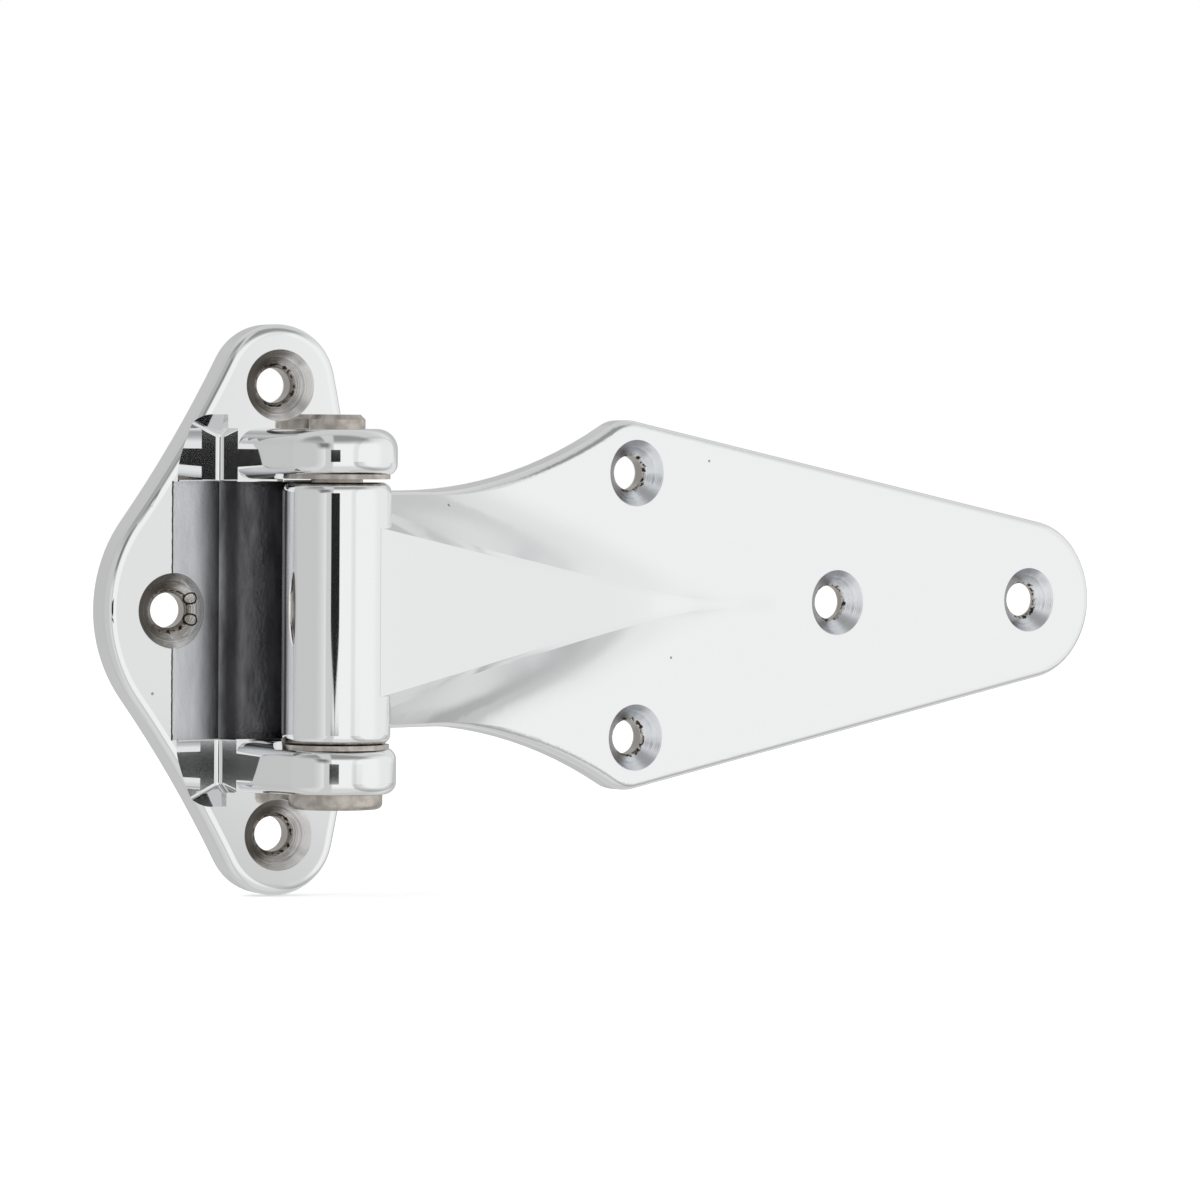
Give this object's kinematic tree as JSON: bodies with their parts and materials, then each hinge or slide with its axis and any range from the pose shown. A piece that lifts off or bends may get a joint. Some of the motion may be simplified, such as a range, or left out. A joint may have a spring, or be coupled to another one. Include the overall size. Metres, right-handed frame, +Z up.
{
  "type": "cooler door hinge",
  "caption": "Chromed cast strap hinge: lobed flange leaf with ears, barrel on a headed pin between thrust washers, and a kite-shaped strap leaf with a tapering ridge.",
  "frame": {"origin": "on the flange's back face, straight behind the pin axis and halfway between the ears", "axes": "+Z up along the pin, +X from the flange towards the strap, +Y into the frame behind the flange"},
  "size_m": [0.2231, 0.0716, 0.105],
  "materials": {
    "flange_chrome": "polished",
    "strap_chrome": "polished",
    "pin_nickel": "dull",
    "washer_steel": "dull"
  },
  "bodies": {
    "frame_side": {"flange_leaf": "flange_chrome", "hinge_pin": "pin_nickel", "upper_washer": "washer_steel", "lower_washer": "washer_steel"},
    "door_side": {"strap_leaf": "strap_chrome"}
  },
  "joints": [
    {"name": "leaf_swing", "type": "hinge", "parent": "frame_side", "child": "door_side", "pos_m": [0, -0.0165, 0], "axis": [0, 0, -1], "range_deg": [-5, 190]}
  ]
}
